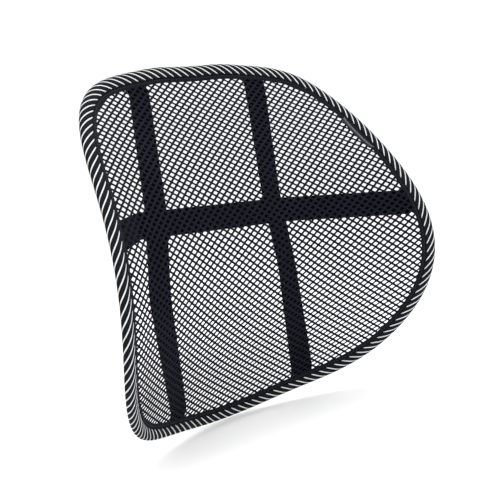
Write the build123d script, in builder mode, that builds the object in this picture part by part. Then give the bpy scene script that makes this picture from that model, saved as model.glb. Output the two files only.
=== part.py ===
from build123d import *
import os
from math import sqrt

# A wire-framed mesh lumbar support, in millimetres.
# +X is to the sitter's left, +Y points back into the chair and +Z is up.
# The origin is the middle of the elastic chair band, on the plane where a chair back meets it.

# --- driving dimensions -------------------------------------------------------------------------

# Front outline of the hoop, on the wire's centre line: heights on the centre line, and the
# (x, z) stations of one half, measured from the hoop's own centre and mirrored for the other half.
HOOP_TOP = 174
HOOP_BOTTOM = -167
HOOP_SIDE = [(68, 171), (125, 158), (159, 123), (181, 62), (195, -7), (187, -89), (151, -136), (82, -158)]

# Saddle that the hoop is bent to, as depth per 100 mm from the hoop's centre.
BOW = 37.0  # how fast the middle swells forward of the top and bottom
BOW_EASE = -4.2  # eases the bow towards the top and bottom
WRAP = -12.3  # brings both sides forward round the sitter
WRAP_SHIFT = 4.0  # wraps the lower half more than the upper half
LEAN = -3.9  # levels the top and bottom so that the straps hang upright

BAND_HEIGHT = 30.5  # of the chair band's middle above the hoop's centre
BAND_SLANT = -0.058  # rise of the chair band per millimetre towards +X
STRAP_DEPTH = 52  # of the straps' straight part behind the net's most forward point

WIRE_R = 2.25
WIRE_END_GAP = 1.0  # between the wire's two ends, inside the ferrule
FERRULE_R = 3.05
FERRULE_LENGTH = 28
FIT_GAP = 0.25

HEM_INNER_R = 3.3  # tunnel round the wire and the ferrule
HEM_OUTER_R = 4.4
HEM_WIDTH = 10.5  # from the wire's centre to the hem's inner edge
HEM_SLOT = 0.45  # half the gap that the net's edge lies in
HEM_FACE = 1.05
BINDING_INNER_R = 4.5
BINDING_OUTER_R = 5.6
BINDING_WIDTH = 6.6
BINDING_SLOT = 1.15
BINDING_FACE = 1.95
AIM = 8.0  # the flat of both tapes points at the net this far in from the wire

NET_THICKNESS = 0.5
NET_INSET = 5.0  # from the wire's centre to the net's cut edge

STRAP_WIDTH = 25
STRAP_THICKNESS = 1.4
STRAP_X_TOP = 75  # from the centre line to each upright strap's own centre line
STRAP_X_BOTTOM = 84.5
STRAP_SHIFT = 4.0  # of all four sewn ends towards +X
SEWN_START = 7.2  # sewn end of a strap, as distances in from the wire's centre
SEWN_END = 15.0
SEWN_LIFT = 2.4  # of a sewn end's front face behind the net
TWIST_LENGTH = 110  # over which a strap turns from lying on the rim to facing straight back
BAND_GAP = 0.4  # between the upright straps and the chair band
BAND_HALF = 95  # of the part of the chair band that stays straight
BAND_END_GAP = 0.4

TACK_LENGTH = 20
TACK_GAP = 0.2
TACK_WIDTH = 2.2
TACK_HEIGHT = 0.6

TAB_START = 0.315  # the side tab's place on the +X side, as a share of the outline from the bottom
TAB_END = 0.347
TAB_INNER = 9.0
TAB_OUTER = 18.5
TAB_LIFT = 1.35
TAB_THICKNESS = 1.3

RIM_STEPS = 36  # steps that carry half of the hoop's line onto the saddle
TAPE_SECTIONS = 25  # of each tape, from the bottom to the top of one half


# --- the saddle and the hoop's line -------------------------------------------------------------

def saddle(x, z):
    """Depth of the net's middle surface at a place measured from the hoop's centre."""
    u, v = x / 100, z / 100
    return LEAN * v + BOW * v**2 + BOW_EASE * v**4 + WRAP * u**2 + WRAP_SHIFT * u**2 * v


def place(x, z):
    """The saddle's point at (x, z), in the part's own frame."""
    return Vector(x, saddle(x, z) - STRAP_DEPTH - STRAP_THICKNESS, z - BAND_HEIGHT)


def saddle_normal(x, z):
    """Unit normal of the saddle, pointing back."""
    step = 0.5
    across = place(x + step, z) - place(x - step, z)
    up = place(x, z + step) - place(x, z - step)
    return up.cross(across).normalized()


# The half outline runs from the bottom, up the +X side, to the top, level at both ends.
half_outline = Spline((0, HOOP_BOTTOM), *HOOP_SIDE[::-1], (0, HOOP_TOP), tangents=[(1, 0), (-1, 0)])


def rim_flat(t):
    """Place (x, z) on the outline, and the flat direction inwards, at a share t of its length.

    The share runs from 0 at the bottom, up the +X side to 0.5 at the top and down the -X side to 1.
    """
    t = t % 1
    share = 2 * t if t <= 0.5 else 2 - 2 * t
    side = 1 if t <= 0.5 else -1
    point, along = half_outline @ share, half_outline % share
    return side * point.X, point.Y, -side * along.Y, along.X


def on_saddle(t, inward, lift=0.0):
    """Point on the saddle, this far in from the wire and lifted off the net's back."""
    x, z, dx, dz = rim_flat(t)
    slope = (place(x + dx, z + dz) - place(x, z)).length
    x, z = x + dx * inward / slope, z + dz * inward / slope
    return place(x, z) + saddle_normal(x, z) * lift


def rim_plane(t):
    """Plane across the hoop at t, with its x axis pointing inwards along the net."""
    step = 0.0005
    along = (on_saddle(t + step, 0) - on_saddle(t - step, 0)).normalized()
    origin = on_saddle(t, 0)
    inward = on_saddle(t, AIM) - origin
    inward = (inward - along * inward.dot(along)).normalized()
    if t in (0, 0.5):
        along, inward = Vector(1 if t == 0 else -1, 0, 0), Vector(0, inward.Y, inward.Z)
    return Plane(origin=origin, x_dir=inward, z_dir=along)


# --- wire hoop ----------------------------------------------------------------------------------

rim_points = [on_saddle(i / RIM_STEPS / 2, 0) for i in range(RIM_STEPS + 1)]
rim_length = 2 * Spline(*rim_points, tangents=[(1, 0, 0), (-1, 0, 0)]).length
end_share = WIRE_END_GAP / 2 / rim_length
ferrule_share = FERRULE_LENGTH / 2 / rim_length

with BuildPart() as hoop_wire:
    for i in range(TAPE_SECTIONS):
        with BuildSketch(rim_plane(end_share + (0.5 - end_share) * i / (TAPE_SECTIONS - 1))):
            Circle(WIRE_R)
    loft()
    mirror(about=Plane.YZ)
hoop_wire.part.label = "hoop_wire"

# The ferrule grips both ends of the wire, so its path runs through the bottom of the hoop.
ferrule_path = Spline(*[on_saddle(s * ferrule_share, 0) for s in (-1, -0.5, 0, 0.5, 1)])
with BuildPart() as wire_ferrule:
    with BuildSketch(Plane(origin=ferrule_path @ 0, z_dir=ferrule_path % 0)):
        Circle(FERRULE_R)
        Circle(WIRE_R + FIT_GAP, mode=Mode.SUBTRACT)
    sweep(path=ferrule_path)
wire_ferrule.part.label = "wire_ferrule"


# --- tapes round the hoop -----------------------------------------------------------------------

def folded_tape(outer_r, inner_r, face, slot, width):
    """A tape folded round the wire: a tube whose two flat edges run inwards, one each side.

    It is lofted up one half of the hoop and mirrored.
    """
    outer_x = sqrt(outer_r**2 - face**2)
    inner_x = sqrt(inner_r**2 - slot**2)
    with BuildPart() as tape:
        for i in range(TAPE_SECTIONS):
            with BuildSketch(rim_plane(0.5 * i / (TAPE_SECTIONS - 1))):
                with BuildLine():
                    Polyline((inner_x, slot), (width, slot), (width, face), (outer_x, face))
                    ThreePointArc((outer_x, face), (-outer_r, 0), (outer_x, -face))
                    Polyline((outer_x, -face), (width, -face), (width, -slot), (inner_x, -slot))
                    ThreePointArc((inner_x, -slot), (-inner_r, 0), (inner_x, slot))
                make_face()
        loft()
        mirror(about=Plane.YZ)
    return tape


hem_tape = folded_tape(HEM_OUTER_R, HEM_INNER_R, HEM_FACE, HEM_SLOT, HEM_WIDTH)
hem_tape.part.label = "hem_tape"

edge_binding = folded_tape(BINDING_OUTER_R, BINDING_INNER_R, BINDING_FACE, BINDING_SLOT, BINDING_WIDTH)
edge_binding.part.label = "edge_binding"


# --- mesh panel ---------------------------------------------------------------------------------

net_xs = [x * 25 for x in range(-8, 9)]
net_zs = [z * 22 for z in range(-8, 9)]
net_surface = Face.make_surface_from_array_of_points([[place(x, z) for z in net_zs] for x in net_xs])
net_edge = [on_saddle(i / RIM_STEPS / 2, NET_INSET) for i in range(RIM_STEPS + 1)]

with BuildPart() as mesh_panel:
    thicken(net_surface, amount=NET_THICKNESS / 2, both=True)
    with BuildSketch(Plane.XZ):
        with BuildLine():
            Spline(*[(point.X, point.Z) for point in net_edge], tangents=[(1, 0), (-1, 0)])
            mirror(about=Plane.YZ)
        make_face()
    extrude(amount=300, both=True, mode=Mode.INTERSECT)
mesh_panel.part.label = "mesh_panel"


# --- upright straps -----------------------------------------------------------------------------

def share_at(x, z_sign):
    """Share of the outline's length where it passes x, in its top (1) or bottom (-1) half."""
    low, high = (0.25, 0.75) if z_sign > 0 else (-0.25, 0.25)
    for _ in range(40):
        middle = (low + high) / 2
        if (rim_flat(middle)[0] - x) * z_sign > 0:
            low = middle
        else:
            high = middle
    return (low + high) / 2


def webbing(planes, width):
    """A flat strap through the given planes, whose x axes run across it."""
    with BuildPart() as strap:
        for plane in planes:
            with BuildSketch(plane):
                Rectangle(width, STRAP_THICKNESS)
        loft(ruled=True)
    return strap


def sewn_ends(t, across_hint):
    """Two planes of a strap's sewn end: where it starts on the rim, and where it leaves it."""
    lift = SEWN_LIFT + STRAP_THICKNESS / 2
    start, end = on_saddle(t, SEWN_START, lift), on_saddle(t, SEWN_END, lift)
    along = (end - start).normalized()
    side = on_saddle(t + 0.005, SEWN_END) - on_saddle(t - 0.005, SEWN_END)
    side = (side - along * side.dot(along)).normalized()
    if side.dot(across_hint) < 0:
        side = -side
    return start, end, along, side


def upright_strap(x_sign):
    """A strap from the top rim to the bottom rim, and the planes of its two bar tacks."""
    across = Vector(1, 0, 0)
    planes, tacks = [], []
    for z_sign, x in ((1, x_sign * STRAP_X_TOP), (-1, x_sign * STRAP_X_BOTTOM)):
        start, end, along, side = sewn_ends(share_at(x + STRAP_SHIFT, z_sign), across)
        straight = Vector(x, -STRAP_THICKNESS / 2, end.Z - z_sign * TWIST_LENGTH)
        down = (straight - end).normalized()
        middle = [Plane(start, side, along), Plane(end, side, (along + down).normalized())]
        middle.append(Plane(straight, across, Vector(0, 0, -z_sign)))
        if z_sign < 0:
            middle = [Plane(p.origin, p.x_dir, -p.z_dir) for p in reversed(middle)]
        planes += middle
        tacks.append(tack_plane(start, end, along, side))
    return webbing(planes, STRAP_WIDTH), tacks


def tack_plane(start, end, along, side):
    """Plane on the back of a sewn end, with its x axis across the strap."""
    back = side.cross(along)
    if back.Y < 0:
        back = -back
    origin = (start + end) * 0.5 + back * (STRAP_THICKNESS / 2 + TACK_GAP)
    return Plane(origin=origin, x_dir=side, z_dir=back)


strap_left, left_tacks = upright_strap(-1)
strap_left.part.label = "strap_left"
strap_right, right_tacks = upright_strap(1)
strap_right.part.label = "strap_right"


# --- chair band ---------------------------------------------------------------------------------

band_y = BAND_GAP + STRAP_THICKNESS / 2

band_up = Vector(-BAND_SLANT, 0, 1).normalized()
band_plane = Plane(origin=(0, band_y - STRAP_THICKNESS / 2, 0), x_dir=(1, 0, BAND_SLANT), z_dir=(0, 1, 0))

with BuildPart() as band_middle:
    with BuildSketch(band_plane):
        Rectangle(2 * BAND_HALF, STRAP_WIDTH)
    extrude(amount=STRAP_THICKNESS)
band_middle.part.label = "band_middle"


def band_side(x_sign):
    """The stretching end of the chair band, from the straight part forward to one side of the hoop."""
    low, high = 0.15, 0.4
    for _ in range(40):
        middle = (low + high) / 2
        if rim_flat(middle)[1] > BAND_HEIGHT + BAND_SLANT * x_sign * rim_flat(middle)[0]:
            high = middle
        else:
            low = middle
    start, end, along, side = sewn_ends(middle if x_sign > 0 else 1 - middle, band_up)
    corner = band_plane.from_local_coords((x_sign * (BAND_HALF + BAND_END_GAP), 0, STRAP_THICKNESS / 2))
    run = (corner - end).normalized()
    planes = [Plane(start, side, along), Plane(end, side, (along + run).normalized())]
    planes.append(Plane(corner, band_up, -band_plane.x_dir * x_sign))
    return webbing(planes, STRAP_WIDTH), tack_plane(start, end, along, side)


band_side_left, left_band_tack = band_side(-1)
band_side_left.part.label = "band_side_left"
band_side_right, right_band_tack = band_side(1)
band_side_right.part.label = "band_side_right"


# --- bar tacks and side tab ---------------------------------------------------------------------

def bar_tacks(planes):
    """Dense bars of thread that hold the sewn ends, one solid each."""
    with BuildPart() as tacks:
        for plane in planes:
            with BuildSketch(plane):
                SlotOverall(TACK_LENGTH, TACK_WIDTH)
            extrude(amount=TACK_HEIGHT)
    return tacks


strap_tacks = bar_tacks(left_tacks + right_tacks)
strap_tacks.part.label = "strap_tacks"
band_tacks = bar_tacks([left_band_tack, right_band_tack])
band_tacks.part.label = "band_tacks"

tab_ts = [TAB_START + (TAB_END - TAB_START) * i / 4 for i in range(5)]
tab_ins = [TAB_INNER + (TAB_OUTER - TAB_INNER) * i / 3 for i in range(4)]
tab_surface = Face.make_surface_from_array_of_points(
    [[on_saddle(t, inward, -TAB_LIFT - TAB_THICKNESS / 2) for inward in tab_ins] for t in tab_ts]
)
with BuildPart() as side_tab:
    thicken(tab_surface, amount=TAB_THICKNESS / 2, both=True)
side_tab.part.label = "side_tab"


# --- files --------------------------------------------------------------------------------------

os.makedirs("parts", exist_ok=True)
for piece in (
    hoop_wire, wire_ferrule, hem_tape, edge_binding, mesh_panel, strap_left, strap_right,
    band_middle, band_side_left, band_side_right, strap_tacks, band_tacks, side_tab,
):
    export_step(piece.part, f"parts/{piece.part.label}.step")
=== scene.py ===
import math

import bpy
import numpy as np
from mathutils import Matrix, Vector


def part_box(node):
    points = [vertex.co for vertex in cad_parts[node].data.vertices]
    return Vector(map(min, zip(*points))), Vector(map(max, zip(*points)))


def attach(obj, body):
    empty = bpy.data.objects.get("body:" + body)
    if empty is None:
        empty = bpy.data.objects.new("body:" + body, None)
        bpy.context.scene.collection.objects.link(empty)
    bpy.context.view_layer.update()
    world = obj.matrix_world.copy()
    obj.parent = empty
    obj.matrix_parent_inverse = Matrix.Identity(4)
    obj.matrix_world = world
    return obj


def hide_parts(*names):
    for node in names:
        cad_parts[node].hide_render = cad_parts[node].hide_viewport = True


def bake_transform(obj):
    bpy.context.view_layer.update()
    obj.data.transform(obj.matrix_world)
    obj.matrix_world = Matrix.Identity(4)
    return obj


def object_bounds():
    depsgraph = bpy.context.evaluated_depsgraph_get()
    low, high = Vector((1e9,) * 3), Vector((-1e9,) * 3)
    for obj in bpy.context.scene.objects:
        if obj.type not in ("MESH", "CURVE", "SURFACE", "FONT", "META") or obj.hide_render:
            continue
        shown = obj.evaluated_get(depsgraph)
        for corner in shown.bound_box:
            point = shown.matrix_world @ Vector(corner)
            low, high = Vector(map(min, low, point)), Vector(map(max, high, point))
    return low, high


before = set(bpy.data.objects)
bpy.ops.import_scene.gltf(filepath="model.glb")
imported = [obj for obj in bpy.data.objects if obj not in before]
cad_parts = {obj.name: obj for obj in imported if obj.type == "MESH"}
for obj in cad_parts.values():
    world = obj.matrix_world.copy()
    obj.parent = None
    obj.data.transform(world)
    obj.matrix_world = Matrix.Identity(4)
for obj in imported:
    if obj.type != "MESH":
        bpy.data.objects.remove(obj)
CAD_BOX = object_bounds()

# A wire-framed mesh lumbar support. Lengths are in metres; names and places come from the frame.
# +X is right as seen from the front, +Y points back into the chair and +Z is up.

MM = 0.001
SUPPORT = "support"
CHAIR_BAND = "chair_band"

# --- the saddle that the hoop is bent to, as in the CAD, in depth per 100 mm ----------------------
BOW = 37.0
BOW_EASE = -4.2
WRAP = -12.3
WRAP_SHIFT = 4.0
LEAN = -3.9
STRAP_DEPTH = 52.0
STRAP_THICKNESS = 1.4
BAND_HEIGHT = 30.5
BAND_SLANT = -0.058

# --- sizes across the rim, in millimetres in from the wire's centre ------------------------------
HEM_WIDTH = 10.5
NET_INSET = 5.2  # of the net's cut edge, hidden in the hem
RIM_AIM = 8.0  # the rim's flat is turned towards the net this far in

STRAP_WIDTH = 25.0
STRAP_X_TOP, STRAP_X_BOTTOM, STRAP_SHIFT = 75.0, 84.5, 4.0
SEWN_START, SEWN_END, SEWN_LIFT = 7.2, 15.0, 2.4  # a sewn end's reach, and its height off the net
TWIST_LENGTH = 110.0

# --- the net -------------------------------------------------------------------------------------
CELL_WIDTH = 9.8
CELL_HEIGHT = 6.8
YARN_RISE = 0.62  # half the yarn's thickness where it crosses
YARN_THIN = 0.86  # its thickness between crossings, as a share of that
SHOULDER, SHOULDER_RISE = 0.38, 0.72  # where a yarn's flank bends, and how high it is there
NET_SPARE = 8.0  # the lattice is laid out this far past the net
NET_HALF_REACH = 220.0  # more than half the net's arc across
HOLE_WIDE, HOLE_HIGH, HOLE_SIDE = 0.60, 0.56, 0.62  # the hole's size as shares of its diamond cell

# --- the binding's stripes -----------------------------------------------------------------------
STRIPE_PITCH = 9.4
STRIPE_SLANT = 1.5  # run along the rim for each millimetre across the tape
STRIPE_HALF = 0.75
STRIPE_RISE = 0.35
RIB_RISE = 0.34  # of the black ribs between the stripes
BINDING_THICKNESS = 0.75
EASE, EASE_REACH = 0.20, 25.0  # the rim's sides are pulled flatter than the net, over this reach

RIM_POINTS = 1080


# --- geometry helpers ----------------------------------------------------------------------------

def unit(v):
    """Rows of v at length 1."""
    return v / np.maximum(np.linalg.norm(v, axis=-1, keepdims=True), 1e-12)


def saddle(x, z):
    """Depth of the net at (x, z), in millimetres in the part's frame."""
    u, v = x / 100, (z + BAND_HEIGHT) / 100
    depth = LEAN * v + BOW * v**2 + BOW_EASE * v**4 + WRAP * u**2 + WRAP_SHIFT * u**2 * v
    return depth - STRAP_DEPTH - STRAP_THICKNESS


def saddle_normal(x, z):
    """Unit normals of the net, pointing back."""
    step = 0.5
    slope_x = (saddle(x + step, z) - saddle(x - step, z)) / (2 * step)
    slope_z = (saddle(x, z + step) - saddle(x, z - step)) / (2 * step)
    return unit(np.stack([-slope_x, np.ones_like(slope_x), -slope_z], -1))


def on_saddle(x, z, lift=0.0):
    """Points on the net, lifted off its back, in millimetres."""
    points = np.stack([x, saddle(x, z), z], -1)
    return points + saddle_normal(x, z) * np.asarray(lift)[..., None]


def mesh_arrays(node):
    """Vertices in millimetres and edges of a CAD node."""
    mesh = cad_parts[node].data
    points = np.zeros(len(mesh.vertices) * 3)
    mesh.vertices.foreach_get("co", points)
    edges = np.zeros(len(mesh.edges) * 2, int)
    mesh.edges.foreach_get("vertices", edges)
    return points.reshape(-1, 3) / MM, edges.reshape(-1, 2)


def wire_line(count, harmonics=28):
    """The hoop wire's centre line: centres of its cuts by half planes about its middle, smoothed.

    It runs clockwise as seen from the front, starting at the bottom.
    """
    points, edges = mesh_arrays("hoop_wire")
    low, high = (np.array(c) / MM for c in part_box("hoop_wire"))
    centre = (low + high) / 2
    p, q = points[edges[:, 0]] - centre, points[edges[:, 1]] - centre
    cuts = 360
    line = []
    for i in range(cuts):
        angle = 2 * math.pi * (i + 0.5) / cuts
        radial = np.array([-math.sin(angle), 0, -math.cos(angle)])
        normal = np.array([-math.cos(angle), 0, math.sin(angle)])
        a, b = p @ normal, q @ normal
        hit = (a * b < 0) & ((p @ radial) > 0)
        share = (a[hit] / (a[hit] - b[hit]))[:, None]
        ring = p[hit] * (1 - share) + q[hit] * share
        flat = np.stack([ring @ radial, ring[:, 1]], 1)
        middle = flat.mean(0)
        order = np.argsort(np.arctan2(flat[:, 1] - middle[1], flat[:, 0] - middle[0]))
        a, b = flat[order], np.roll(flat[order], -1, 0)
        cross = a[:, 0] * b[:, 1] - b[:, 0] * a[:, 1]
        middle = ((a + b) * cross[:, None]).sum(0) / (3 * cross.sum())
        line.append(radial * middle[0] + np.array([0, middle[1], 0]) + centre)
    spectrum = np.fft.rfft(np.array(line), axis=0)
    spectrum[harmonics:] = 0
    fine = np.fft.irfft(np.vstack([spectrum, np.zeros((4096 // 2 + 1 - len(spectrum), 3))]), 4096, axis=0)
    fine *= 4096 / cuts
    step = np.linalg.norm(np.roll(fine, -1, 0) - fine, axis=1)
    along = np.concatenate([[0], np.cumsum(step)])
    closed = np.vstack([fine, fine[:1]])
    places = np.linspace(0, along[-1], count, endpoint=False)
    return np.stack([np.interp(places, along, closed[:, k]) for k in range(3)], 1), along[-1]


rim, rim_length = wire_line(RIM_POINTS)
rim_step = rim_length / RIM_POINTS
flat_along = unit((np.roll(rim, -1, 0) - np.roll(rim, 1, 0))[:, [0, 2]])
flat_inward = np.stack([flat_along[:, 1], -flat_along[:, 0]], 1)


def eased(inward, sideways):
    """How far forward of the saddle the net is this far in from the wire, most at the sides."""
    inward = np.asarray(inward, float)
    return EASE * inward * np.exp(-((inward / EASE_REACH) ** 2)) * sideways**2


def in_from_rim(index, inward, lift=0.0):
    """Points on the net this far in from the wire, at places along the rim given as indices."""
    index = np.asarray(index, float)
    low = np.floor(index).astype(int)
    share = (index - low)[..., None]
    a, b = low % RIM_POINTS, (low + 1) % RIM_POINTS
    point = rim[a] * (1 - share) + rim[b] * share
    flat = unit(flat_inward[a] * (1 - share) + flat_inward[b] * share)
    x, z = point[..., 0], point[..., 2]
    slope = np.linalg.norm(on_saddle(x + flat[..., 0], z + flat[..., 1]) - on_saddle(x, z), axis=-1)
    reach = np.asarray(inward) / slope
    lift = lift - eased(inward, flat[..., 0])
    return on_saddle(x + flat[..., 0] * reach, z + flat[..., 1] * reach, lift)


every = np.arange(RIM_POINTS)
rim_along = unit(np.roll(rim, -1, 0) - np.roll(rim, 1, 0))
rim_inward = in_from_rim(every, RIM_AIM) - rim
rim_inward = unit(rim_inward - rim_along * (rim_inward * rim_along).sum(1, keepdims=True))
rim_back = np.cross(rim_inward, rim_along)
rim_back *= np.sign(rim_back[:, 1:2])


def across_rim(index, section):
    """Points of a section drawn as (inward, back) at places along the rim: shape (n, m, 3)."""
    index = np.asarray(index, float)
    low = np.floor(index).astype(int)
    share = (index - low)[:, None]
    a, b = low % RIM_POINTS, (low + 1) % RIM_POINTS

    def mix(v):
        return v[a] * (1 - share) + v[b] * share

    centre, inward, back = mix(rim), unit(mix(rim_inward)), unit(mix(rim_back))
    return centre[:, None] + inward[:, None] * section[..., :1] + back[:, None] * section[..., 1:]


def make_mesh(name, points, faces, material, body=SUPPORT, uvs=None, smooth=True):
    """A mesh object from points in millimetres, riding on a body. uvs are per point."""
    mesh = bpy.data.meshes.new(name)
    mesh.from_pydata((np.asarray(points).reshape(-1, 3) * MM).tolist(), [], [list(f) for f in faces])
    if uvs is not None:
        layer = mesh.uv_layers.new(name="weave")
        corners = np.zeros(len(mesh.loops), int)
        mesh.loops.foreach_get("vertex_index", corners)
        layer.data.foreach_set("uv", np.asarray(uvs, float)[corners].ravel())
    mesh.polygons.foreach_set("use_smooth", [smooth] * len(mesh.polygons))
    mesh.validate()
    mesh.update()
    piece = bpy.data.objects.new(name, mesh)
    bpy.context.collection.objects.link(piece)
    mesh.materials.append(material)
    if body:
        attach(piece, body)
    return piece


def grid_faces(rows, columns, close_rows=False, close_columns=False, start=0):
    """Quads of a grid of points stored row by row."""
    faces = []
    for i in range(rows if close_rows else rows - 1):
        for j in range(columns if close_columns else columns - 1):
            a, b = i * columns, ((i + 1) % rows) * columns
            c, d = j, (j + 1) % columns
            faces.append((start + a + c, start + a + d, start + b + d, start + b + c))
    return faces


# --- material helpers ----------------------------------------------------------------------------

class Nodes:
    """Builds a node material a step at a time."""

    def __init__(self, name, roughness=0.8, metallic=0.0, specular=0.5):
        self.material = bpy.data.materials.new(name)
        self.material.use_nodes = True
        self.tree = self.material.node_tree
        self.shader = self.tree.nodes["Principled BSDF"]
        self.shader.inputs["Roughness"].default_value = roughness
        self.shader.inputs["Metallic"].default_value = metallic
        self.shader.inputs["Specular IOR Level"].default_value = specular

    def link(self, source, target):
        self.tree.links.new(source, target)

    def math(self, operation, a, b=None, clamp=False):
        node = self.tree.nodes.new("ShaderNodeMath")
        node.operation, node.use_clamp = operation, clamp
        for socket, value in zip(node.inputs, (a, b)):
            if value is None:
                continue
            if isinstance(value, (int, float)):
                socket.default_value = value
            else:
                self.link(value, socket)
        return node.outputs[0]

    def uv(self):
        node = self.tree.nodes.new("ShaderNodeUVMap")
        node.uv_map = "weave"
        split = self.tree.nodes.new("ShaderNodeSeparateXYZ")
        self.link(node.outputs[0], split.inputs[0])
        return split.outputs[0], split.outputs[1]

    def place(self):
        return self.tree.nodes.new("ShaderNodeTexCoord").outputs["Object"]

    def noise(self, scale, detail=3, where=None):
        node = self.tree.nodes.new("ShaderNodeTexNoise")
        node.inputs["Scale"].default_value = scale
        node.inputs["Detail"].default_value = detail
        self.link(where or self.place(), node.inputs["Vector"])
        return node.outputs["Fac"]

    def ramp(self, value, *stops):
        """Colours at places from 0 to 1, each (place, (r, g, b))."""
        node = self.tree.nodes.new("ShaderNodeValToRGB")
        while len(node.color_ramp.elements) < len(stops):
            node.color_ramp.elements.new(0.5)
        for element, (place, colour) in zip(node.color_ramp.elements, stops):
            element.position, element.color = place, (*colour, 1)
        self.link(value, node.inputs[0])
        return node.outputs[0]

    def colour(self, value):
        self.link(value, self.shader.inputs["Base Color"])

    def bump(self, height, distance_mm, strength=1.0):
        node = self.tree.nodes.new("ShaderNodeBump")
        node.inputs["Strength"].default_value = strength
        node.inputs["Distance"].default_value = distance_mm * MM
        self.link(height, node.inputs["Height"])
        self.link(node.outputs[0], self.shader.inputs["Normal"])

    def wave(self, value, period):
        """A smooth wave from 0 to 1 along a length in millimetres."""
        turned = self.math("MULTIPLY", value, 2 * math.pi / period)
        return self.math("ADD", self.math("MULTIPLY", self.math("SINE", turned), 0.5), 0.5)


def woven(name, dark, light, thread_x, thread_y, bump_mm, roughness, specular, twill=0.0):
    """A flat woven cloth: threads over and under, with a little colour and fuzz variation.

    thread_x and thread_y are the threads' spacings in millimetres; twill slants the warp.
    """
    n = Nodes(name, roughness, specular=specular)
    u, v = n.uv()
    if twill:
        u = n.math("ADD", u, n.math("MULTIPLY", v, twill))
    warp, weft = n.wave(u, thread_x), n.wave(v, thread_y)
    over = n.math("ABSOLUTE", n.math("SUBTRACT", warp, weft))
    crown = n.math("MULTIPLY", n.math("ADD", warp, weft), 0.5)
    height = n.math("ADD", n.math("MULTIPLY", over, 0.6), n.math("MULTIPLY", crown, 0.4))
    fuzz = n.noise(900, 4)
    height = n.math("ADD", height, n.math("MULTIPLY", fuzz, 0.35))
    patch = n.noise(30, 2)
    tone = n.math("ADD", n.math("MULTIPLY", height, 0.6), n.math("MULTIPLY", patch, 0.35), clamp=True)
    n.colour(n.ramp(tone, (0.15, dark), (0.9, light)))
    n.bump(height, bump_mm)
    return n.material


# --- materials -----------------------------------------------------------------------------------

def net_material():
    """Slate-navy polyester yarn with fine filaments."""
    n = Nodes("net_yarn", 0.75, specular=0.08)
    filaments = n.noise(2600, 3)
    patch = n.noise(45, 2)
    tone = n.math("ADD", n.math("MULTIPLY", filaments, 0.5), n.math("MULTIPLY", patch, 0.5))
    n.colour(n.ramp(tone, (0.25, (0.002, 0.003, 0.0065)), (0.75, (0.0065, 0.0085, 0.017))))
    n.bump(filaments, 0.12)
    return n.material


def stripe_material():
    """White twisted yarn."""
    n = Nodes("white_yarn", 0.75, specular=0.3)
    u, v = n.uv()
    twist = n.wave(n.math("ADD", u, n.math("MULTIPLY", v, 1.4)), 0.9)
    soil = n.noise(120, 3)
    tone = n.math("ADD", n.math("MULTIPLY", twist, 0.45), n.math("MULTIPLY", soil, 0.55))
    n.colour(n.ramp(tone, (0.2, (0.55, 0.56, 0.58)), (0.7, (0.86, 0.87, 0.88))))
    n.bump(twist, 0.12)
    return n.material


def thread_material():
    """Black sewing thread."""
    n = Nodes("sewing_thread", 0.5, specular=0.3)
    strands = n.noise(3000, 2)
    n.colour(n.ramp(strands, (0.3, (0.006, 0.006, 0.008)), (0.7, (0.03, 0.03, 0.036))))
    n.bump(strands, 0.05)
    return n.material


def ribbon_material():
    """Black satin ribbon: fine cross ribs and a painted satin highlight, paler, on the half next to the hem.
    """
    n = Nodes("tab_ribbon", 0.45, specular=0.2)
    u, v = n.uv()
    ribs = n.wave(u, 0.6)
    # Painted satin highlight: paler, noisy colour on the half of the ribbon next to the hem, up to the ramp's
    # pale end.
    sheen_mask = n.math("MULTIPLY", n.math("SUBTRACT", 0.4, v), 0.8, clamp=True)
    painted_sheen = n.math("MULTIPLY", sheen_mask, n.noise(400, 4))
    tone = n.math("ADD", painted_sheen, n.math("MULTIPLY", ribs, 0.06))
    n.colour(n.ramp(tone, (0.0, (0.002, 0.002, 0.004)), (0.7, (0.10, 0.115, 0.14))))
    n.bump(ribs, 0.06)
    return n.material


def metal_material(name, base, roughness):
    """Drawn or pressed metal with fine scratches."""
    n = Nodes(name, roughness, metallic=1.0)
    scratches = n.noise(700, 5)
    n.colour(n.ramp(scratches, (0.3, tuple(c * 0.7 for c in base)), (0.7, base)))
    n.bump(scratches, 0.02)
    return n.material


# The darkest and the lightest tone of each cloth.
TAPE_BLACK = (0.001, 0.0014, 0.002), (0.008, 0.010, 0.014)
STRAP_BLACK = (0.0008, 0.0008, 0.001), (0.004, 0.004, 0.0055)

NET = net_material()
BINDING = woven("striped_binding_black", *TAPE_BLACK, 0.9, 0.6, 0.12, 0.85, 0.10)
HEM = woven("hem_tape", *TAPE_BLACK, 0.8, 0.8, 0.10, 0.85, 0.10, twill=0.5)
STRIPE = stripe_material()
WEBBING = woven("strap_webbing", *STRAP_BLACK, 1.4, 1.1, 0.22, 0.9, 0.05)
ELASTIC = woven("elastic_webbing", *STRAP_BLACK, 2.2, 0.8, 0.25, 0.9, 0.05)
THREAD = thread_material()
RIBBON = ribbon_material()
STEEL = metal_material("spring_steel", (0.45, 0.45, 0.46), 0.38)
FERRULE = metal_material("ferrule_metal", (0.72, 0.72, 0.73), 0.45)


def repaint(node, material):
    """Gives a CAD node that stays in view a better material."""
    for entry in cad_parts[node].material_slots:
        entry.material = material


# --- net -----------------------------------------------------------------------------------------

def arc_places(function, start, end, spacing):
    """Steps, and places of a curve y = function(x) at even arc lengths either side of zero."""
    x = np.linspace(start, end, 4001)
    arc = np.concatenate([[0], np.cumsum(np.hypot(np.diff(x), np.diff(function(x))))])
    arc -= np.interp(0, x, arc)
    low, high = math.ceil(arc[0] / spacing), math.floor(arc[-1] / spacing)
    steps = np.arange(low, high + 1)
    return steps, np.interp(steps * spacing, arc, x)


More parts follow.
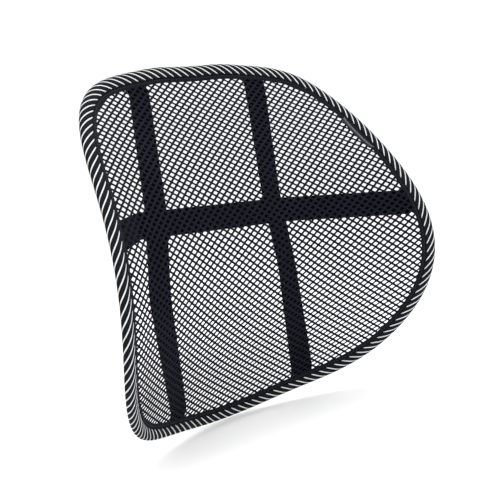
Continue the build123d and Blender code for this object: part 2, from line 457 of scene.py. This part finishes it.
def build_net():
    """The knitted net: a diamond lattice of rounded yarns, cut where it runs under the hem.

    Places in the lattice are counted in sixths of a cell, a across and b up.
    """
    fine_z = CELL_HEIGHT / 6
    low, high = (np.array(c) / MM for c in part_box("mesh_panel"))
    middle_z = (low[2] + high[2]) / 2
    lowest, highest = low[2] - middle_z - NET_SPARE, high[2] - middle_z + NET_SPARE
    z_steps, z_places = arc_places(lambda s: saddle(0.0, s + middle_z), lowest, highest, fine_z)
    z_of = dict(zip(z_steps.tolist(), (z_places + middle_z).tolist()))
    x = np.linspace(low[0] - NET_SPARE, high[0] + NET_SPARE, 801)

    row_tables = {}

    def x_of(a, b):
        if b not in row_tables:
            y = saddle(x, z_of[b])
            arc = np.concatenate([[0], np.cumsum(np.hypot(np.diff(x), np.diff(y)))])
            row_tables[b] = arc - np.interp(0, x, arc)
        return float(np.interp(a * CELL_WIDTH / 6, row_tables[b], x))

    # The net's cut edge, as a flat polygon that a cell's centre has to be inside.
    edge = in_from_rim(every, NET_INSET)[:, [0, 2]]
    edge_angle = np.arctan2(edge[:, 1] - middle_z, edge[:, 0])
    order = np.argsort(edge_angle)
    edge_angle, edge_reach = edge_angle[order], np.hypot(edge[:, 0], edge[:, 1] - middle_z)[order]

    def reach_of(px, pz):
        """How far a point is from the middle, and how far the cut edge is that way."""
        turn = math.atan2(pz - middle_z, px)
        reach = np.interp(turn, edge_angle, edge_reach, period=2 * math.pi)
        return math.hypot(px, pz - middle_z), reach

    def pull_in(px, pz):
        """Keeps a point on or inside the cut edge."""
        here, reach = reach_of(px, pz)
        if here <= reach:
            return px, pz
        return px * reach / here, middle_z + (pz - middle_z) * reach / here

    upper = [(3, 0), (2, 1), (1, 2), (0, 3), (-1, 2), (-2, 1)]
    ring = upper + [(-da, -db) for da, db in upper]
    points, lifts, faces = [], [], []
    corner_index = {}

    def add(px, pz, lift):
        points.append((px, pz))
        lifts.append(lift)
        return len(points) - 1

    def corner(a, b):
        """Front and back indices of a point where cells meet."""
        if (a, b) not in corner_index:
            px, pz = pull_in(x_of(a, b), z_of[b])
            rise = YARN_RISE * (1.0 if a % 3 == 0 and b % 3 == 0 else YARN_THIN)
            corner_index[a, b] = (add(px, pz, -rise), add(px, pz, rise))
        return corner_index[a, b]

    rows = [b for b in z_of if b % 3 == 0 and b - 3 in z_of and b + 3 in z_of]
    columns = int(NET_HALF_REACH / CELL_WIDTH) + 1
    for b in sorted(rows):
        shift = 3 if (b // 3) % 2 else 0
        for column in range(-columns, columns + 1):
            a = 6 * column + shift
            cx, cz = x_of(a, b), z_of[b]
            here, reach = reach_of(cx, cz)
            if here >= reach:
                continue
            outer = [corner(a + da, b + db) for da, db in ring]
            hole, shoulder_front, shoulder_back = [], [], []
            for (da, db), (front, back) in zip(ring, outer):
                size = HOLE_WIDE if db == 0 else HOLE_HIGH if da == 0 else HOLE_SIDE
                ex, ez = points[front]
                hole.append(add(cx + (ex - cx) * size, cz + (ez - cz) * size, 0.0))
                part = size + (1 - size) * SHOULDER
                sx, sz = cx + (ex - cx) * part, cz + (ez - cz) * part
                shoulder_front.append(add(sx, sz, -YARN_RISE * SHOULDER_RISE))
                shoulder_back.append(add(sx, sz, YARN_RISE * SHOULDER_RISE))
            for k in range(12):
                m = (k + 1) % 12
                faces.append((hole[k], hole[m], shoulder_front[m], shoulder_front[k]))
                faces.append((shoulder_front[k], shoulder_front[m], outer[m][0], outer[k][0]))
                faces.append((hole[m], hole[k], shoulder_back[k], shoulder_back[m]))
                faces.append((shoulder_back[m], shoulder_back[k], outer[k][1], outer[m][1]))
    flat = np.array(points)
    shape = on_saddle(flat[:, 0], flat[:, 1])
    near = np.zeros(len(flat), int)
    apart = np.zeros(len(flat))
    for start in range(0, len(flat), 4000):
        gaps = np.linalg.norm(shape[start:start + 4000, None] - rim[None, ::3], axis=2)
        near[start:start + 4000] = gaps.argmin(1) * 3
        apart[start:start + 4000] = gaps.min(1)
    shape = on_saddle(flat[:, 0], flat[:, 1], np.array(lifts) - eased(apart, flat_inward[near, 0]))
    # Closes the cut edge, where a front corner edge has only one cell beside it.
    sides = {}
    for face in faces:
        for p, q in zip(face, face[1:] + face[:1]):
            sides[p, q] = sides.get((p, q), 0) + 1
    back_of = {front: back for front, back in corner_index.values()}
    for p, q in list(sides):
        if (q, p) not in sides and p in back_of and q in back_of:
            faces.append((q, p, back_of[p], back_of[q]))
    net = make_mesh("net", shape, faces, NET, uvs=flat)
    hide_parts("mesh_panel")
    return net


# --- hem and binding -----------------------------------------------------------------------------

def sweep_rim(name, section, material, indices):
    """A closed section carried once round the rim."""
    section = np.asarray(section, float)
    points = across_rim(indices, np.broadcast_to(section, (len(indices), *section.shape)))
    around = np.concatenate([[0], np.cumsum(np.linalg.norm(np.diff(section, axis=0), axis=1))])
    uvs = np.stack(np.meshgrid(np.asarray(indices) * rim_step, around, indexing="ij"), -1)
    faces = grid_faces(len(indices), len(section), True, True)
    return make_mesh(name, points, faces, material, uvs=uvs.reshape(-1, 2))


def build_hem():
    """The plain tape folded over the net's edge: its flat shows inside the striped binding."""
    half = [
        (4.2, 1.00), (5.6, 1.02), (6.9, 1.04), (7.7, 1.08), (8.3, 1.10), (8.55, 0.98), (8.7, 0.86),
        (9.3, 0.88), (9.9, 0.84), (10.3, 0.66), (10.5, 0.34),
    ]
    section = half + [(HEM_WIDTH + 0.03, 0.0)] + [(x, -y) for x, y in reversed(half)]
    hem = sweep_rim("hem", section, HEM, np.arange(0, RIM_POINTS, 2))
    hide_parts("hem_tape")


def capsule_rows(paths, radius, sides=6):
    """Thread lengths as tubes with rounded ends: points and faces for paths of shape (k, 3)."""
    points, faces = [], []
    for path in paths:
        path = np.asarray(path, float)
        along = unit(np.gradient(path, axis=0))
        hint = np.array([0.0, 1.0, 0.0]) if abs(along[0][1]) < 0.9 else np.array([1.0, 0, 0])
        side = unit(np.cross(along, hint))
        up = np.cross(side, along)
        start = len(points)
        sizes = np.full(len(path), radius)
        sizes[[0, -1]] *= 0.35
        for centre, s, u, r in zip(path, side, up, sizes):
            for k in range(sides):
                angle = 2 * math.pi * k / sides
                points.append(centre + (s * math.cos(angle) + u * math.sin(angle)) * r)
        faces += grid_faces(len(path), sides, close_columns=True, start=start)
        faces.append(tuple(start + k for k in reversed(range(sides))))
        faces.append(tuple(start + (len(path) - 1) * sides + k for k in range(sides)))
    return points, faces


def build_hem_stitches():
    """The running stitch that closes the hem, on both faces."""
    pitch, length = 3.6, 2.9
    dip = np.array([-0.18, 0.05, 0.08, 0.05, -0.18])  # a stitch's ends go down into the tape
    count = int(rim_length / pitch)
    paths = []
    for side in (-1, 1):
        for k in range(count):
            middle = (k + (0.25 if side > 0 else 0)) * RIM_POINTS / count
            index = middle + np.linspace(-0.5, 0.5, 5) * length / rim_step
            bow = 0.12 * np.cos(np.linspace(-1, 1, 5) * math.pi / 2) + dip
            section = np.stack([np.full(5, 8.0), side * (1.08 + bow)], -1)[:, None, :]
            paths.append(across_rim(index, section)[:, 0])
    points, faces = capsule_rows(paths, 0.24)
    make_mesh("hem_stitches", points, faces, THREAD)


STRIPE_COUNT = round(rim_length / STRIPE_PITCH)
STRIPE_PITCH_FIT = rim_length / STRIPE_COUNT


def binding_profile():
    """The binding's outer face across the tape, from its front lip round the wire to its back lip.

    Gives the distance across the tape, the (inward, back) point and the outward direction.
    """
    half = [(6.6, 1.75), (5.8, 2.2), (5.0, 2.62), (4.1, 3.0), (3.2, 3.35), (2.2, 3.65), (1.1, 3.9)]
    half += [(-5.7 * math.sin(t), 4.05 * math.cos(t)) for t in np.linspace(0, math.pi / 2, 13)[:-1]]
    points = np.array([(x, -y) for x, y in half] + [(-5.7, 0.0)] + half[::-1])
    for _ in range(2):
        points[1:-1] = (points[:-2] + 2 * points[1:-1] + points[2:]) / 4
    across = np.concatenate([[0], np.cumsum(np.linalg.norm(np.diff(points, axis=0), axis=1))])
    along = unit(np.gradient(points, axis=0))
    outward = np.stack([along[:, 1], -along[:, 0]], 1)
    if (outward * points)[len(points) // 2].sum() < 0:
        outward = -outward
    return across, points, outward


def stripe_height(along, across, width):
    """How far the black rib between two stripes bulges, at places on the tape."""
    phase = (along + STRIPE_SLANT * across) / STRIPE_PITCH_FIT
    rib = np.abs(np.sin(np.pi * phase)) ** 0.6
    fade = np.clip(np.minimum(across, width - across) / 2.0, 0, 1)
    return RIB_RISE * rib * fade


def build_binding():
    """The black cover tape, ribbed between its stripes."""
    across, profile, outward = binding_profile()
    places = np.arange(RIM_POINTS)
    along = places * rim_step
    lift = stripe_height(along[:, None], across[None, :], across[-1]) - RIB_RISE
    outer = profile[None] + outward[None] * lift[..., None]
    inner = profile[::-1] - outward[::-1] * BINDING_THICKNESS
    inner = np.broadcast_to(inner[None], (RIM_POINTS, *inner.shape))
    section = np.concatenate([outer, inner], 1)
    points = across_rim(places, section)
    tape = np.concatenate([across, across[::-1]])
    uvs = np.stack(np.meshgrid(along, tape, indexing="ij"), -1).reshape(-1, 2)
    faces = grid_faces(RIM_POINTS, section.shape[1], True, True)
    binding = make_mesh("binding", points, faces, BINDING, uvs=uvs)
    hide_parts("edge_binding")


def build_stripes():
    """The white yarn stripes, laid slantwise across the binding in the furrows between its ribs."""
    across, profile, outward = binding_profile()
    width = across[-1]
    steps = 34  # points along each stripe
    start, end = 0.7, width - 0.7
    places = np.linspace(start, end, steps)
    taper = np.clip(np.minimum(places - start, end - places) / 1.6, 0, 1) ** 0.5
    section = [(-1, -0.5), (-0.75, 0.45), (0, 1), (0.75, 0.45), (1, -0.5)]
    points, faces, uvs = [], [], []
    for k in range(STRIPE_COUNT):
        first = len(points)
        for w, t in zip(places, taper):
            p = np.array([np.interp(w, across, profile[:, c]) for c in (0, 1)])
            n = np.array([np.interp(w, across, outward[:, c]) for c in (0, 1)])
            base = k * STRIPE_PITCH_FIT - STRIPE_SLANT * w
            for side, rise in section:
                # The offset runs along the rim, wider than the yarn by the slant.
                shift = side * STRIPE_HALF * (0.25 + 0.75 * t) * math.hypot(1, STRIPE_SLANT)
                index = (base + shift) / rim_step
                height = -0.30 + STRIPE_RISE * (0.35 + 0.65 * t) * rise
                points.append(across_rim(np.array([index]), (p + n * height)[None, None])[0, 0])
                uvs.append((side * STRIPE_HALF, w))
        m = len(section)
        faces += grid_faces(steps, m, close_columns=True, start=first)
        faces.append(tuple(first + j for j in reversed(range(m))))
        faces.append(tuple(first + (steps - 1) * m + j for j in range(m)))
    make_mesh("binding_stripes", points, faces, STRIPE, uvs=uvs)


# --- straps and band -----------------------------------------------------------------------------

def webbing_mesh(name, centre, across, back, material, slot, body=SUPPORT, width=STRAP_WIDTH):
    """Flat webbing along a line of centres, with rounded selvedges."""
    half, thick = width / 2, STRAP_THICKNESS / 2
    inset = np.linspace(-1, 1, 9)
    front = [(x * (half - 0.5), -thick) for x in inset]
    rear = [(x * (half - 0.5), thick) for x in inset[::-1]]
    section = [(-half, -thick * 0.45)] + front + [(half, -thick * 0.45), (half, thick * 0.45)] + rear
    section = np.array(section + [(-half, thick * 0.45)])
    points = centre[:, None] + across[:, None] * section[None, :, :1] + back[:, None] * section[None, :, 1:]
    along = np.concatenate([[0], np.cumsum(np.linalg.norm(np.diff(centre, axis=0), axis=1))])
    uvs = np.stack(np.meshgrid(section[:, 0], along, indexing="xy"), -1).reshape(-1, 2)
    m = len(section)
    faces = grid_faces(len(centre), m, close_columns=True)
    faces.append(tuple(reversed(range(m))))
    faces.append(tuple((len(centre) - 1) * m + k for k in range(m)))
    return make_mesh(name, points, faces, material, body, uvs)


def crossing(value, keep):
    """Place along the rim where value passes through nothing, among the points to keep."""
    following = np.roll(value, -1)
    hit = np.flatnonzero((value * following <= 0) & keep & (np.abs(value) < 5))[0]
    return hit + value[hit] / (value[hit] - following[hit])


def strap_rim_index(x, sign):
    """Place along the rim where it passes x in its top (1) or bottom (-1) half."""
    return crossing(rim[:, 0] - x, (rim[:, 2] + BAND_HEIGHT) * sign > 0)


def band_rim_index(sign):
    """Place along the rim that the chair band runs to on side sign."""
    return crossing(rim[:, 2] - BAND_SLANT * rim[:, 0], rim[:, 0] * sign > 0)


def sewn_end(index, hint):
    """Start and end of a strap's sewn end, its direction and its sideways direction."""
    lift = SEWN_LIFT + STRAP_THICKNESS / 2
    start, end = (in_from_rim(np.array([index]), s, lift)[0] for s in (SEWN_START, SEWN_END))
    along = unit(end - start)
    after, before = (in_from_rim(np.array([index + k]), SEWN_END)[0] for k in (5, -5))
    side = after - before
    side = unit(side - along * (side @ along))
    return start, end, along, side * np.sign(side @ hint)


def strap_line(corners, sides, spacing=2.5, soften=3):
    """Even points along a bent line, with its bends eased and its sideways direction turned."""
    corners, sides = np.array(corners), np.array(sides)
    length = np.concatenate([[0], np.cumsum(np.linalg.norm(np.diff(corners, axis=0), axis=1))])
    places = np.linspace(0, length[-1], int(length[-1] / spacing) + 1)
    centre = np.stack([np.interp(places, length, corners[:, k]) for k in range(3)], 1)
    across = np.stack([np.interp(places, length, sides[:, k]) for k in range(3)], 1)
    for _ in range(soften):
        centre[1:-1] = (centre[:-2] + 2 * centre[1:-1] + centre[2:]) / 4
    for _ in range(soften * 4):
        across[1:-1] = (across[:-2] + 2 * across[1:-1] + across[2:]) / 4
    along = unit(np.gradient(centre, axis=0))
    across = unit(across - along * (across * along).sum(1, keepdims=True))
    back = np.cross(across, along)
    return centre, across, back * np.sign(back[:, 1:2])


def build_upright(node, side_sign):
    """An upright strap from the top rim to the bottom rim."""
    hint = np.array([1.0, 0, 0])
    corners, sides = [], []
    for sign, x in ((1, side_sign * STRAP_X_TOP), (-1, side_sign * STRAP_X_BOTTOM)):
        start, end, _, side = sewn_end(strap_rim_index(x + STRAP_SHIFT, sign), hint)
        straight = np.array([x, -STRAP_THICKNESS / 2, end[2] - sign * TWIST_LENGTH])
        part = [start, end, straight]
        turn = [side, side, hint]
        corners += part if sign > 0 else part[::-1]
        sides += turn if sign > 0 else turn[::-1]
    strap = webbing_mesh(node + "_webbing", *strap_line(corners, sides), WEBBING, "strap_webbing")
    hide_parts(node)


def build_band():
    """The elastic chair band: a straight middle that slides back on its own body, and two ends that run from
    the rim to it.
    """
    low, high = (np.array(c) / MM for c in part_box("band_middle"))
    y = (low[1] + high[1]) / 2
    run, up = unit(np.array([1.0, 0, BAND_SLANT])), unit(np.array([-BAND_SLANT, 0, 1.0]))
    half = (high[0] - STRAP_WIDTH / 2 * abs(up[0])) / run[0]
    count = 60
    centre = np.array([0, y, 0]) + np.linspace(-half, half, count)[:, None] * run
    across, back = np.tile(up, (count, 1)), np.tile([0.0, 1, 0], (count, 1))
    middle = webbing_mesh("band_middle_elastic", centre, across, back, ELASTIC, "elastic_webbing", CHAIR_BAND)
    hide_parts("band_middle")
    for node, sign in (("band_side_left", -1), ("band_side_right", 1)):
        start, end, along, side = sewn_end(band_rim_index(sign), up)
        side = unit(side + up - along * ((side + up) @ along))
        corner = centre[0 if sign < 0 else -1]
        centre_line, across, back = strap_line([start, end, corner], [side, side, up])
        # The last few points turn to run on straight from the middle.
        ease = np.clip(1 - np.linalg.norm(centre_line - corner, axis=1) / 10, 0, 1)[:, None] ** 2
        back = unit(back * (1 - ease) + np.array([0.0, 1, 0]) * ease)
        name = node + "_elastic"
        piece = webbing_mesh(name, centre_line, across, back, ELASTIC, "elastic_webbing", None)
        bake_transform(piece)
        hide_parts(node)


# --- stitching and tab ---------------------------------------------------------------------------

def islands(node):
    """The separate solids of a CAD node, as arrays of their points in millimetres."""
    points, edges = mesh_arrays(node)
    points, merged = np.unique(points.round(3), axis=0, return_inverse=True)
    edges = merged.ravel()[edges]
    group = np.arange(len(points))
    while True:
        low = np.minimum(group[edges[:, 0]], group[edges[:, 1]])
        new = group.copy()
        np.minimum.at(new, edges[:, 0], low)
        np.minimum.at(new, edges[:, 1], low)
        if (new == group).all():
            break
        group = new
    return [points[group == g] for g in np.unique(group)]


def build_tacks(node):
    """Bar tacks as rows of close crosswise threads."""
    pitch = 0.55
    paths = []
    for points in islands(node):
        centre = points.mean(0)
        _, _, axes = np.linalg.svd(points - centre)
        long, wide, out = axes
        out = out * np.sign(out[1])
        length = np.ptp(points @ long)
        width = np.ptp(points @ wide)
        for s in np.arange(-0.5, 0.5001, pitch / length):
            arc = np.linspace(-0.5, 0.5, 6)
            lean = 0.12 * (1 if round(s * length / pitch) % 2 else -1)
            path = centre + long * (s * length) + (arc * width)[:, None] * wide
            path = path + (arc * lean)[:, None] * long + (0.32 * np.cos(arc * math.pi) - 0.1)[:, None] * out
            paths.append(path)
    points, faces = capsule_rows(paths, 0.27)
    tacks = make_mesh(node + "_thread", points, faces, THREAD)
    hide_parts(node)


def build_tab():
    """The blank side tab: a ribbon loop along the hem, with both ends sewn down on it."""
    points = islands("side_tab")[0]
    nearest = np.linalg.norm(rim[None] - points[:, None], axis=2).argmin(1)
    steps, columns, half_width = 40, 7, 2.6
    index = np.linspace(nearest.min(), nearest.max(), steps)
    rise = np.sin(np.linspace(0, math.pi, steps)) ** 0.4
    across = np.linspace(-half_width, half_width, columns)
    rows = []
    for i, r in zip(index, rise):
        lift = -1.6 - 0.9 * r - 0.25 * np.cos(across / half_width * math.pi / 2)
        rows.append(in_from_rim(np.full(columns, i), 9.8 + 5.4 * r + across, lift))
    uvs = np.stack(np.meshgrid(index * rim_step, across, indexing="ij"), -1).reshape(-1, 2)
    faces = grid_faces(steps, columns)
    tab = make_mesh("side_tab_ribbon", np.array(rows), faces, RIBBON, uvs=uvs)
    thick = tab.modifiers.new("thickness", "SOLIDIFY")
    thick.thickness, thick.offset = 0.7 * MM, 0
    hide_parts("side_tab")


# --- build ---------------------------------------------------------------------------------------

repaint("hoop_wire", STEEL)
repaint("wire_ferrule", FERRULE)
net = build_net()
build_hem()
build_hem_stitches()
build_binding()
build_stripes()
build_upright("strap_left", -1)
build_upright("strap_right", 1)
build_band()
build_tacks("strap_tacks")
build_tacks("band_tacks")
build_tab()


# --- stage, lights and camera --------------------------------------------------------------------

YAW, PITCH, ROLL = 42.87, 5.85, 7.69  # degrees: round to the object's left, down on it, and tilted
DISTANCE = 0.936
LENS = 71.9  # in millimetres, on a 36 mm sensor
AIM_AT = np.array([-7.25, -46.85, -32.0]) * MM  # what the middle of the view looks at


def build_camera():
    """The camera, at the distance and angles above."""
    yaw, pitch, roll = (math.radians(a) for a in (YAW, PITCH, ROLL))
    right = np.array([math.cos(yaw), -math.sin(yaw), 0])
    ahead_flat = np.array([math.sin(yaw), math.cos(yaw), 0])
    up = np.array([0, 0, math.cos(pitch)]) + ahead_flat * math.sin(pitch)
    ahead = ahead_flat * math.cos(pitch) - np.array([0, 0, math.sin(pitch)])
    right, up = (
        right * math.cos(roll) - up * math.sin(roll),
        right * math.sin(roll) + up * math.cos(roll),
    )
    data = bpy.data.cameras.new("camera")
    data.lens, data.sensor_width = LENS, 36
    camera = bpy.data.objects.new("camera", data)
    bpy.context.collection.objects.link(camera)
    turn = Matrix((right, up, -ahead)).transposed()
    camera.matrix_world = Matrix.Translation(Vector(AIM_AT - ahead * DISTANCE)) @ turn.to_4x4()
    bpy.context.scene.camera = camera


def build_stage():
    """A plain pale floor just under the part, in even white light."""
    floor_z = CAD_BOX[0][2] - 0.002
    mesh = bpy.data.meshes.new("floor")
    size = 6.0
    corners = [(x * size, y * size, floor_z) for x, y in ((-1, -1), (1, -1), (1, 1), (-1, 1))]
    mesh.from_pydata(corners, [], [(0, 1, 2, 3)])
    floor = bpy.data.objects.new("floor", mesh)
    bpy.context.collection.objects.link(floor)
    n = Nodes("floor", 0.9)
    n.colour(n.ramp(n.noise(2, 2), (0.3, (0.96, 0.96, 0.96)), (0.7, (0.98, 0.98, 0.98))))
    mesh.materials.append(n.material)
    world = bpy.data.worlds.new("world")
    world.use_nodes = True
    background = world.node_tree.nodes["Background"]
    background.inputs["Color"].default_value = (1, 1, 1, 1)
    background.inputs["Strength"].default_value = 1.05
    bpy.context.scene.world = world


def area_light(name, place, target, size, power):
    """A square soft light at a place, turned to its target."""
    data = bpy.data.lights.new(name, "AREA")
    data.shape, data.size, data.energy = "SQUARE", size, power
    light = bpy.data.objects.new(name, data)
    bpy.context.collection.objects.link(light)
    aim = Vector(target) - Vector(place)
    light.matrix_world = Matrix.Translation(place) @ aim.to_track_quat("-Z", "Y").to_matrix().to_4x4()


bpy.context.scene.view_settings.view_transform = "Standard"
build_stage()
area_light("key", (-0.6, -1.4, 1.6), (0, 0, 0), 1.2, 22)
area_light("top", (0.5, 0.2, 1.8), (0, 0, 0), 1.0, 14)
build_camera()
